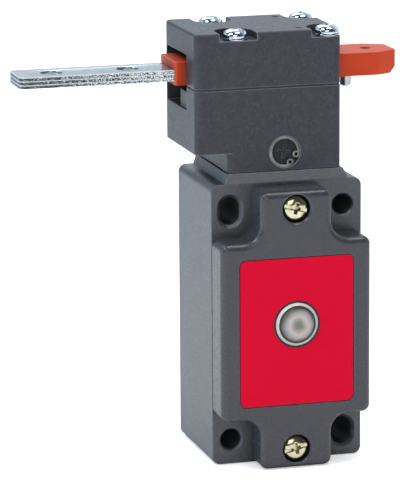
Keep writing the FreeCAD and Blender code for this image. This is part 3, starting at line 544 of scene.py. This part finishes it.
def galvanised(low, high, pitch):
    """Smooth zinc on the faces, torn steel on the sheared edges."""
    mat, tree, shader = new_finish("galvanised", (0.72, 0.75, 0.78), 0.3, 1.0)
    here = add(tree, "TexCoord").outputs["Object"]
    at = add(tree, "SeparateXYZ", Vector=here).outputs
    torn = sheared_mask(tree, at, low, high)
    spangle = add(tree, "TexVoronoi", Vector=here, Scale=700.0).outputs["Color"]
    flat = mixed(tree, spangle, (0.37, 0.39, 0.40), (0.43, 0.45, 0.46))
    tint = mixed(tree, torn, flat, torn_color(tree, at, low, pitch))
    tree.links.new(tint, shader.inputs["Base Color"])
    tree.links.new(remap(tree, torn, 0.0, 1.0, 1.0, 0.3), shader.inputs["Metallic"])
    tree.links.new(remap(tree, torn, 0.0, 1.0, 0.26, 0.40), shader.inputs["Roughness"])
    pick = tree.nodes.new("ShaderNodeMix")
    pick.data_type = "VECTOR"
    tree.links.new(torn, pick.inputs[0])
    tree.links.new(bump(tree, grain(tree, 1.4, 2.0), 0.006, 1.0), pick.inputs[4])
    tree.links.new(bump(tree, grain(tree, 0.35, 3.0, 0.8), 0.04, 1.0), pick.inputs[5])
    tree.links.new(pick.outputs[1], shader.inputs["Normal"])
    return mat


sheet_zinc = galvanised(*stack[0], sheet_pitch)
print("tongue finish:", sheet_zinc.name)

# %% [markdown]
# ## Making a piece
# A turned piece, such as a screw head, is a profile spun round an axis.
# The profile is a chain of points; spin copies it in steps and joins the
# copies. A mesh could also be typed in point by point, but then a change
# of one radius changes them all. A recess is cut with a Boolean, whose
# result is kept as the mesh. Spin lists its faces in another order each
# time, and a cut depends on that order, so the faces are sorted first.


# %% Shapes
def turned(profile_mm, steps=64):
    """Spin a profile of (radius, height) points round Z into a closed solid."""
    bm = bmesh.new()
    chain = [bm.verts.new((r * MM, 0, h * MM)) for r, h in profile_mm]
    edges = [bm.edges.new(pair) for pair in zip(chain, chain[1:])]
    bmesh.ops.spin(bm, geom=chain + edges, cent=(0, 0, 0), axis=(0, 0, 1), angle=math.tau,
                   steps=steps, use_merge=True, use_duplicate=False)
    bmesh.ops.remove_doubles(bm, verts=bm.verts, dist=1e-6)
    bmesh.ops.recalc_face_normals(bm, faces=bm.faces)
    return bm


def block(size_mm, at_mm=(0, 0, 0)):
    """A cube scaled to size and moved to its place."""
    bm = bmesh.new()
    bmesh.ops.create_cube(bm, size=1.0)
    bmesh.ops.scale(bm, verts=bm.verts, vec=[s * MM for s in size_mm])
    bmesh.ops.translate(bm, verts=bm.verts, vec=[a * MM for a in at_mm])
    return bm


def smooth(mesh, crease):
    """Smooth faces, with edges sharper than crease degrees left sharp."""
    for face in mesh.polygons:
        face.use_smooth = True
    mesh.set_sharp_from_angle(angle=math.radians(crease))


def in_order(bm):
    """Sort edges and faces by their points, so that each run gives the same mesh."""
    bm.verts.index_update()
    count = len(bm.verts)

    def by_points(part):
        first, second, *rest = sorted(v.index for v in part.verts)
        return (first * count + second) * count + sum(rest) / max(len(rest), 1)

    bm.edges.sort(key=by_points)
    bm.faces.sort(key=by_points)


def as_object(bm, name, crease=35.0):
    """Turn a bmesh into an object in the scene."""
    in_order(bm)
    mesh = bpy.data.meshes.new(name)
    bm.to_mesh(mesh)
    bm.free()
    smooth(mesh, crease)
    piece = bpy.data.objects.new(name, mesh)
    bpy.context.scene.collection.objects.link(piece)
    return piece


print("shape helpers ready")


# %% Cuts and soft edges
def keep_shape(piece, crease=35.0):
    """Replace the mesh by what its modifiers make of it."""
    seen = bpy.context.evaluated_depsgraph_get()
    seen.update()
    mesh = bpy.data.meshes.new_from_object(piece.evaluated_get(seen))
    piece.modifiers.clear()
    piece.data = mesh
    smooth(mesh, crease)


def cut_out(piece, *tools):
    """Subtract each tool from the piece, then keep the result as its mesh."""
    for tool in tools:
        step = piece.modifiers.new("cut", "BOOLEAN")
        step.operation = "DIFFERENCE"
        step.solver = "EXACT"
        step.object = tool
    keep_shape(piece)
    for tool in tools:
        bpy.data.objects.remove(tool)


def soften(piece, width_mm, segments=2):
    """A small bevel on every sharp edge."""
    step = piece.modifiers.new("soft edges", "BEVEL")
    step.width = width_mm * MM
    step.segments = segments
    step.limit_method = "ANGLE"
    step.angle_limit = math.radians(32)
    step.harden_normals = False
    keep_shape(piece)


print("cutting helpers ready")

# %% [markdown]
# ## Putting a piece in its place
# An object could be moved and turned, but then a pattern in its finish
# would move with it when the object is reset. So the mesh itself is moved,
# and the object stays at the origin, as the solids do. A piece then says
# which body carries it and which solid it stands for.


# %% Place and settle
def place(piece, at, tip_forward=False, turn=0.0):
    """Turn and move the mesh itself, so that the object stays at the origin."""
    move = Matrix.Rotation(turn, 4, "Z")
    if tip_forward:
        move = Matrix.Rotation(math.radians(90), 4, "X") @ move
    piece.data.transform(Matrix.Translation(at) @ move)


def settle(piece, finish, body, slot, *stands_for):
    """Give a piece its finish, its body and the CAD node it stands for."""
    piece.data.materials.clear()
    piece.data.materials.append(finish)
    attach(piece, body)
    if stands_for:
        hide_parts(*stands_for)
    return piece


def node_centre(node):
    """The middle of a node's box, and its two corners."""
    low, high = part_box(node)
    return (low + high) / 2, low, high


print("placing helpers ready")

# %% [markdown]
# ## A screw with slot and cross
# The screws have a slot and a cross in one drive, so that either
# screwdriver fits. Each head is a turned crown. The drive could be pressed
# in by moving points, but three cutting blocks give cleaner walls: a long
# one for the slot, and two short, deeper ones that get narrower downwards
# and cross each other. The shank has plain rings in place of a thread,
# since hardly any of it can be seen.

# %% Screw recipe
HEAD_H = 2.3
SHANK_D = 3.0
DRIVE_DEPTH = 0.75
RING_PITCH = 0.5
RING_DEPTH = 0.16
FIRST_RING = 0.35
UNDERCUT = 0.12
CROWN = ((0.0, 1.0), (0.20, 0.994), (0.38, 0.970), (0.55, 0.922), (0.70, 0.846),
         (0.83, 0.734), (0.92, 0.600), (0.975, 0.455), (1.0, 0.30), (1.0, 0.12))


def drive_tools(head_d, crown, depth):
    """Cutting blocks for the slot and for the tapered cross."""
    wide = head_d * 0.14
    arm, arm_wide, arm_deep = head_d * 0.52, wide * 1.3, crown * 1.6
    slot = as_object(block((wide, head_d * 1.3, depth * 2), (0, 0, crown)), "slot_tool")
    arms = []
    for size in ((arm, arm_wide, arm_deep), (arm_wide, arm, arm_deep)):
        bm = block(size, (0, 0, crown))
        low = [v for v in bm.verts if v.co.z < crown * MM]
        bmesh.ops.scale(bm, verts=low, vec=(0.60, 0.60, 1.0))
        arms.append(as_object(bm, "cross_tool"))
    return [slot] + arms


def pan_head_screw(name, head_d, length):
    """Crowned head with its drive, and a shank with rings and a point."""
    r, s = head_d / 2, SHANK_D / 2
    profile = [(r * x, HEAD_H * z) for x, z in CROWN] + [(r - UNDERCUT, 0.0), (s, 0.0)]
    for k in range(int(length / RING_PITCH) - 1):
        z = -FIRST_RING - RING_PITCH * k
        profile += [(s, z), (s - RING_DEPTH, z - RING_PITCH / 2)]
    profile += [(s * 0.5, -length + 0.02), (0.0, -length)]
    piece = as_object(turned(profile), name)
    cut_out(piece, *drive_tools(head_d, HEAD_H, DRIVE_DEPTH))
    soften(piece, 0.05)
    return piece


print("shank rings are", RING_PITCH, "mm apart")

# %% [markdown]
# ## Head screws
# Four bright screws hold the cap and the head down on the housing. No two
# screws stop at the same angle, and a row of equal ones looks copied,
# which is why each gets its own turn.

# %% Head screws
HEAD_SCREW_D = 6.2
head_screw_turns = {1: 50.0, 2: 80.0, 3: 35.0, 4: 66.0}
for number, degrees in head_screw_turns.items():
    node = f"head_screw_{number}"
    middle, low, high = node_centre(node)
    under = high.z - HEAD_H * MM
    screw = pan_head_screw(f"bright_screw_{number}", HEAD_SCREW_D, (under - low.z) / MM)
    place(screw, (middle.x, middle.y, under), turn=math.radians(degrees))
    settle(screw, bright_zinc, "switch", "head_screw", node)
    print(node, "faces:", len(screw.data.polygons))

# %% [markdown]
# ## Cover screws
# The two yellow screws lie in round pockets of the cover. They are the
# same recipe with a wider head, tipped forward so that the drive faces the
# viewer.

# %% Cover screws
COVER_SCREW_D = 7.0
for node, degrees in (("cover_screw_upper", -13.0), ("cover_screw_lower", 14.0)):
    middle, low, high = node_centre(node)
    under = low.y + HEAD_H * MM
    screw = pan_head_screw(node.replace("cover", "yellow"), COVER_SCREW_D, (high.y - under) / MM)
    place(screw, (middle.x, under, middle.z), tip_forward=True, turn=math.radians(degrees + 90))
    settle(screw, chromate, "switch", "cover_screw", node)
    print(node, "faces:", len(screw.data.polygons))

# %% [markdown]
# ## Wave washers
# Under each bright screw lies a spring washer: a flat ring pressed into
# waves, so that it touches the head at some points and the plastic at
# others. A small rectangle is spun into a ring, and each point is then
# lifted or lowered by a sine of its angle, which is shorter than bending
# the ring with a modifier.

# %% Wave washers
WASHER_IN, WASHER_OUT = 1.65, 3.18
WASHER_LOW, WASHER_TOP = 0.06, 0.34
WAVE = 0.07
washer_profile = [(WASHER_IN, WASHER_LOW), (WASHER_OUT, WASHER_LOW), (WASHER_OUT, WASHER_TOP),
                  (WASHER_IN, WASHER_TOP), (WASHER_IN, WASHER_LOW)]
for number in head_screw_turns:
    node = f"spring_washer_{number}"
    middle, low, high = node_centre(node)
    ring = turned(washer_profile, 72)
    for v in ring.verts:
        v.co.z += WAVE * MM * math.sin(2 * math.atan2(v.co.y, v.co.x) + number)
    washer = as_object(ring, f"wave_washer_{number}")
    place(washer, (middle.x, middle.y, low.z + 0.03 * MM))
    settle(washer, bright_zinc, "switch", "washer", node)
print("wave washers:", len(head_screw_turns))

# %% [markdown]
# ## Indicator finish
# A lamp behind the label shows whether the guard is closed. Its lens is a
# frosted plastic dome that scatters light. Real glass with a lamp behind
# it would be slow and noisy, so rings of painted light and shade round the
# middle stand for the dim bulb, the bright glow of the dome, the shade at
# its foot and a highlight on the pale rim. A little noise in the radius
# keeps the rings from looking drawn.


# %% Lens finish
def frosted_lens(centre):
    """Rings of painted light and shade round the lens's middle, in object space."""
    mat, tree, shader = new_finish("frosted_lens", (0.45, 0.46, 0.44), 0.30)
    here = add(tree, "TexCoord").outputs["Object"]

    def radius_from(dx, dz, wobble):
        """Distance from a point beside the middle, shaken by noise (mm)."""
        shift = (-centre.x - dx * MM, 0.0, -centre.z - dz * MM)
        off = add(tree, "Mapping", Vector=here, Location=shift, Scale=(1.0, 0.0, 1.0))
        out = add(tree, "VectorMath", {"operation": "LENGTH"}, i0=off.outputs["Vector"])
        shaken = add(tree, "Math", {"operation": "MULTIPLY_ADD"}, i0=grain(tree, 2.2, 1.0),
                     i1=wobble * MM, i2=out.outputs["Value"])
        return shaken.outputs[0]

    # Painted light: the glow of the bulb through the frosted dome, in rings of colour.
    painted_glow = remap(tree, radius_from(0.25, -0.2, 1.0), 0.5 * MM, 5.3 * MM)
    tint = ramp(tree, painted_glow,
                (0.00, (0.135, 0.145, 0.118)), (0.20, (0.185, 0.185, 0.160)),
                (0.50, (0.490, 0.405, 0.400)), (0.68, (0.330, 0.318, 0.310)),
                (0.92, (0.088, 0.082, 0.075)))
    reach = remap(tree, radius_from(0.0, 0.0, 0.1), 0.0, 5.6 * MM)
    # Painted shade: a dark band at the foot of the dome.
    tint = mixed(tree, ramp(tree, reach, (0.72, 0.0), (0.84, 1.0)), tint, (0.060, 0.060, 0.056))
    # Painted highlight: a pale line on the rim.
    tint = mixed(tree, ramp(tree, reach, (0.870, 0.0), (0.885, 1.0)), tint, (0.52, 0.52, 0.50))
    tree.links.new(tint, shader.inputs["Base Color"])
    tree.links.new(bump(tree, grain(tree, 0.18, 1.0), 0.003, 1.0), shader.inputs["Normal"])
    return mat


lens_low, lens_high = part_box("indicator_lens")
ring_low, ring_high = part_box("indicator_ring")
rise = (ring_low.y - lens_low.y) / MM
lens_at = Vector(((lens_low.x + lens_high.x) / 2, ring_low.y, (ring_low.z + ring_high.z) / 2))
lens_finish = frosted_lens(lens_at)
print("dome rise in mm:", round(rise, 2))

# %% [markdown]
# ## Lens
# The dome stands in a flanged rim with a bevel that catches the window of
# the studio. Both are one turned piece, since the real one is moulded in
# one: an arc for the dome, then a few points for the groove and the rim.

# %% Lens
RIM_R, DOME_R = 5.6, 4.7
LENS_BACK = -2.4
profile = [(DOME_R * math.sin(math.radians(a)), 0.12 + (rise - 0.14) * math.cos(math.radians(a)))
           for a in range(0, 91, 6)]
profile += [(DOME_R + 0.12, 0.10), (DOME_R + 0.26, 0.62), (DOME_R + 0.36, 0.66), (RIM_R - 0.05, 0.10),
            (RIM_R, 0.0), (RIM_R, LENS_BACK), (0.0, LENS_BACK)]
dome = as_object(turned(profile, 96), "frosted_dome", 50.0)
place(dome, lens_at, tip_forward=True)
settle(dome, lens_finish, "switch", "lens", "indicator_lens")
print("dome faces:", len(dome.data.polygons))

# %% [markdown]
# ## Lens seal
# A thin black seal fills the gap between the rim and the cover. Without it
# the lens would seem to float in the label. Its crown is only three points
# high, enough to give the dark line a faint sheen.

# %% Lens seal
SEAL_IN, SEAL_OUT, SEAL_BACK = 5.62, 6.12, -2.35
seal_rubber, tree, shader = new_finish("seal_rubber", (0.016, 0.016, 0.018), 0.5)
tree.links.new(bump(tree, grain(tree, 0.3, 2.0), 0.006), shader.inputs["Normal"])
seal_profile = [(SEAL_IN, -0.10), (5.80, 0.06), (5.98, 0.10), (SEAL_OUT, 0.02), (SEAL_OUT, SEAL_BACK),
                (SEAL_IN, SEAL_BACK), (SEAL_IN, -0.10)]
seal = as_object(turned(seal_profile, 96), "lens_seal", 50.0)
place(seal, lens_at, tip_forward=True)
settle(seal, seal_rubber, "switch", "lens_ring", "indicator_ring")
print("seal faces:", len(seal.data.polygons))

# %% [markdown]
# ## The steel tongue
# Each sheet is drawn as an outline with its two fixing holes, filled flat
# and extruded upwards. That is how the real one is punched, and it needs
# no Boolean. The holes get a countersink, wide on the outer sheets and
# narrow on the middle one.

# %% Tongue sheets
TIP_CUT = 1.0 * MM
HOLE_R = 2.76 * MM
HOLE_IN, HOLE_PITCH = 9.5 * MM, 20.0 * MM
SHEET_GAP = 0.03 * MM
SINK_OUTER, SINK_MIDDLE = 0.34, 0.08


def tongue_sheet(number):
    """One plate as a bmesh, with chamfered tip and countersunk holes."""
    low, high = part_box(f"tongue_plate_{number}")
    x0, x1, y0, y1 = low.x, high.x, low.y, high.y
    c, mid = TIP_CUT, (low.y + high.y) / 2
    holes = (x0 + HOLE_IN, x0 + HOLE_IN + HOLE_PITCH)
    bm = bmesh.new()
    corners = [(x0 + c, y0), (x1, y0), (x1, y1), (x0 + c, y1), (x0, y1 - c), (x0, y0 + c)]
    ring = [bm.verts.new((x, y, low.z + SHEET_GAP)) for x, y in corners]
    edges = [bm.edges.new(pair) for pair in zip(ring, ring[1:] + ring[:1])]
    for hole_x in holes:
        made = bmesh.ops.create_circle(bm, segments=64, radius=HOLE_R, cap_ends=False)
        bmesh.ops.translate(bm, verts=made["verts"], vec=(hole_x, mid, low.z + SHEET_GAP))
        edges += dict.fromkeys(e for v in made["verts"] for e in v.link_edges)
    filled = bmesh.ops.triangle_fill(bm, edges=edges, use_dissolve=True)
    faces = [g for g in filled["geom"] if isinstance(g, bmesh.types.BMFace)]
    raised = bmesh.ops.extrude_face_region(bm, geom=faces, use_keep_orig=True)
    tops = [g for g in raised["geom"] if isinstance(g, bmesh.types.BMVert)]
    bmesh.ops.translate(bm, verts=tops, vec=(0, 0, high.z - low.z - 2 * SHEET_GAP))
    bmesh.ops.recalc_face_normals(bm, faces=bm.faces)

    def on_a_rim(edge):
        """Whether an edge lies level on the rim of a hole."""
        a, b = edge.verts
        hole_x = holes[0] if a.co.x < x0 + HOLE_IN * 2 else holes[1]
        round_it = all(abs(math.hypot(v.co.x - hole_x, v.co.y - mid) - HOLE_R) < 1e-5 for v in (a, b))
        return edge.calc_face_angle(0) > 0.9 and abs(a.co.z - b.co.z) < 1e-6 and round_it

    rims = [e for e in bm.edges if on_a_rim(e)]
    sink = SINK_MIDDLE if number == 2 else SINK_OUTER
    bmesh.ops.bevel(bm, geom=rims, offset=sink * MM, affect="EDGES", segments=2, profile=0.5,
                    material=-1)
    return bm, low, high


print("holes from the tip in mm:", round(HOLE_IN / MM, 1), round((HOLE_IN + HOLE_PITCH) / MM, 1))

# %% [markdown]
# ## Torn edges
# A sheared edge is torn, and at this size a bump in the finish alone looks
# painted on. So a finely divided strip lies over each long edge, and every
# inner point is pushed out by two layers of smooth noise. The strip's rim
# turns inwards and is closed behind, so that it is a solid of its own.

# %% Torn strips and whole sheets
STRIP_STEPS, STRIP_ROWS = 300, 6
STRIP_SHORT, STRIP_LOW = 1.1 * MM, 0.05 * MM
STRIP_SHIFT = 0.5 * MM
RIM_IN, SKIRT = 0.02 * MM, 0.3 * MM


def torn_edge(number, low, high, side):
    """A finely divided strip over one sheared edge, its points shaken."""
    bm = bmesh.new()
    bmesh.ops.create_grid(bm, x_segments=STRIP_STEPS, y_segments=STRIP_ROWS, size=0.5)
    size = (high.x - low.x - STRIP_SHORT, high.z - low.z - STRIP_LOW, 1.0)
    bmesh.ops.scale(bm, verts=bm.verts, vec=size)
    upright = Matrix.Rotation(math.radians(90), 3, "X")
    bmesh.ops.rotate(bm, verts=bm.verts, matrix=upright, cent=(0, 0, 0))
    at = ((low.x + high.x) / 2 + STRIP_SHIFT, low.y if side < 0 else high.y, (low.z + high.z) / 2)
    bmesh.ops.translate(bm, verts=bm.verts, vec=at)
    rim = {v for v in bm.verts if v.is_boundary}
    for v in bm.verts:
        coarse = noise.noise(Vector((v.co.x * 2600, number * 7.3 + side, v.co.z * 2200)))
        fine = noise.noise(Vector((v.co.x * 6500, number * 3.1 + side, v.co.z * 6500)))
        if v in rim:
            v.co.y -= side * RIM_IN
        else:
            v.co.y += side * (0.07 + 0.09 * coarse + 0.06 * fine) * MM
            v.co.z += 0.04 * MM * fine
    skirt = bmesh.ops.extrude_edge_only(bm, edges=[e for e in bm.edges if e.is_boundary])
    inner = [g for g in skirt["geom"] if isinstance(g, bmesh.types.BMVert)]
    bmesh.ops.translate(bm, verts=inner, vec=(0, -side * SKIRT, 0))
    bmesh.ops.holes_fill(bm, edges=[e for e in bm.edges if e.is_boundary], sides=0)
    bmesh.ops.recalc_face_normals(bm, faces=bm.faces)
    return bm


for number in (1, 2, 3):
    bm, low, high = tongue_sheet(number)
    for side in (-1, 1):
        strip = torn_edge(number, low, high, side)
        hold = bpy.data.meshes.new("strip")
        strip.to_mesh(hold)
        strip.free()
        bm.from_mesh(hold)
    sheet = as_object(bm, f"tongue_sheet_{number}", 30.0)
    settle(sheet, sheet_zinc, "tongue", "tongue", f"tongue_plate_{number}")
    print(sheet.name, "faces:", len(sheet.data.polygons))

# %% [markdown]
# ## Cable entry thread
# The cable gland screws into the bottom of the housing. A thread is a small
# ridge that climbs as it goes round: a spin that also moves along the axis
# by the pitch gives a helix, with no curve to draw first. It is an extra
# piece on the smooth bore, so it stands for no solid.

# %% Thread in the cable entry
THREAD_PITCH, THREAD_TURNS, THREAD_STEPS = 1.5, 4, 64
ROOT_R, CREST_R = 9.19, 8.86
ROOT_HALF, CREST_HALF = 0.55, 0.09
THREAD_IN = 1.6 * MM
housing_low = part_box("housing")[0]
stem_middle = node_centre("plunger")[0]
bm = bmesh.new()
tooth_mm = ((ROOT_R, -ROOT_HALF), (CREST_R, -CREST_HALF), (CREST_R, CREST_HALF), (ROOT_R, ROOT_HALF))
tooth = [bm.verts.new((r * MM, 0, z * MM)) for r, z in tooth_mm]
tooth_edges = [bm.edges.new(pair) for pair in zip(tooth, tooth[1:] + tooth[:1])]
bmesh.ops.spin(bm, geom=tooth + tooth_edges, cent=(0, 0, 0), axis=(0, 0, 1),
               angle=math.tau * THREAD_TURNS, dvec=(0, 0, THREAD_PITCH * MM / THREAD_STEPS),
               steps=THREAD_STEPS * THREAD_TURNS, use_duplicate=False)
bmesh.ops.holes_fill(bm, edges=[e for e in bm.edges if e.is_boundary], sides=4)
bmesh.ops.recalc_face_normals(bm, faces=bm.faces)
thread = as_object(bm, "entry_thread", 50.0)
place(thread, (0.0, stem_middle.y, housing_low.z + THREAD_IN))
settle(thread, housing_plastic, "switch", "housing")
print("thread height in mm:", THREAD_PITCH * THREAD_TURNS)

# %% [markdown]
# ## Return spring
# A coil of round wire lifts the plunger inside the housing, and gets
# shorter when the plunger goes down. A small circle is spun and raised at
# the same time, as the thread was.

# %% Coil spring
WIRE_R, WINDS, WIND_STEPS = 0.34 * MM, 3.5, 48
WIRE_ROOM = 0.02 * MM
coil_mid, foot, crest = node_centre("return_spring")
coil_r = (crest.x - foot.x) / 2 - 0.35 * MM
climb = crest.z - foot.z - 2 * WIRE_R - 2 * WIRE_ROOM
wound = int(WINDS * WIND_STEPS)
bm = bmesh.new()
made = bmesh.ops.create_circle(bm, segments=12, radius=WIRE_R, cap_ends=False)
upright = Matrix.Rotation(math.radians(90), 3, "X")
bmesh.ops.rotate(bm, verts=made["verts"], matrix=upright, cent=(0, 0, 0))
bmesh.ops.translate(bm, verts=made["verts"], vec=(coil_r, 0, foot.z + WIRE_R + WIRE_ROOM))
bmesh.ops.spin(bm, geom=list(bm.verts) + list(bm.edges), cent=(0, 0, 0), axis=(0, 0, 1),
               angle=math.tau * WINDS, dvec=(0, 0, climb / wound), steps=wound, use_duplicate=False)
bmesh.ops.holes_fill(bm, edges=[e for e in bm.edges if e.is_boundary], sides=12)
bmesh.ops.recalc_face_normals(bm, faces=bm.faces)
coil = as_object(bm, "coil_spring", 50.0)
place(coil, (coil_mid.x, coil_mid.y, 0.0))
settle(coil, spring_steel, "switch", "spring", "return_spring")
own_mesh(coil)
print("coil height in mm:", round((crest.z - foot.z) / MM, 2))

# %% [markdown]
# ## Finishes for small plastic parts
# The axle plug and the contact block are black, the lever, plunger and
# carrier are ivory, and the lamp's body is nearly clear. They are seen
# only through an opening, so each takes a few nodes: a colour, a light
# grain, and on the plug, which sits in the open, a painted highlight
# that makes its edges paler.

# %% Small plastic finishes
soot = (0.020, 0.022, 0.027)
plug_black, tree, shader = new_finish("plug_black", soot, 0.36)
soft = edge_normal(tree, 0.2)
# Painted highlight: the plug's edges are paler in the colour.
tint = mixed(tree, edge_mask(tree, soft), soot, (0.14, 0.15, 0.17))
tree.links.new(tint, shader.inputs["Base Color"])
tree.links.new(bump(tree, grain(tree, 0.35, 2.0), 0.008, 1.0, soft), shader.inputs["Normal"])
shader.inputs["Specular IOR Level"].default_value = 0.2

ivory, tree, shader = new_finish("ivory_plastic", (0.62, 0.60, 0.52), 0.4)
tint = mixed(tree, grain(tree, 5.0), (0.58, 0.56, 0.48), (0.66, 0.64, 0.56))
tree.links.new(tint, shader.inputs["Base Color"])
tree.links.new(bump(tree, grain(tree, 0.4), 0.008, 1.0, edge_normal(tree, 0.15)), shader.inputs["Normal"])

lamp_clear, tree, shader = new_finish("lamp_body", (0.72, 0.74, 0.70), 0.15)
tree.links.new(bump(tree, grain(tree, 0.6), 0.003), shader.inputs["Normal"])
print("small finishes:", plug_black.name, ivory.name, lamp_clear.name)

# %% [markdown]
# ## Finishes on the CAD solids
# The remaining solids have the right shape already. Each keeps its mesh,
# and only its material slots are filled. One table says which finish goes
# where, so that a new part needs one word and no new code.

# %% Assign the finishes
dressed = {
    housing_plastic: ["housing"],
    cover_plastic: ["cover"],
    head_plastic: ["head_base", "head_cap"],
    label_film: ["label"],
    slide_plastic: ["slide"],
    plain_steel: ["stop_pin", "lever_axle", "tongue_rivet_1", "tongue_rivet_2"]
    + [f"terminal_screw_{n}" for n in (1, 2, 3, 4)],
    spring_steel: ["retaining_ring"],
    plug_black: ["axle_plug", "contact_block"],
    ivory: ["toothed_lever", "plunger", "contact_carrier"],
    brass: ["contact_bridge_nc", "contact_bridge_no"] + [f"terminal_{n}" for n in (1, 2, 3, 4)],
    seal_rubber: ["cover_gasket", "head_seal"],
    lamp_clear: ["indicator_lamp"],
}
for finish, nodes in dressed.items():
    for node in nodes:
        if not cad[node].material_slots:
            cad[node].data.materials.append(finish)
        for material_slot in cad[node].material_slots:
            material_slot.material = finish
    print(finish.name, "->", ", ".join(nodes))
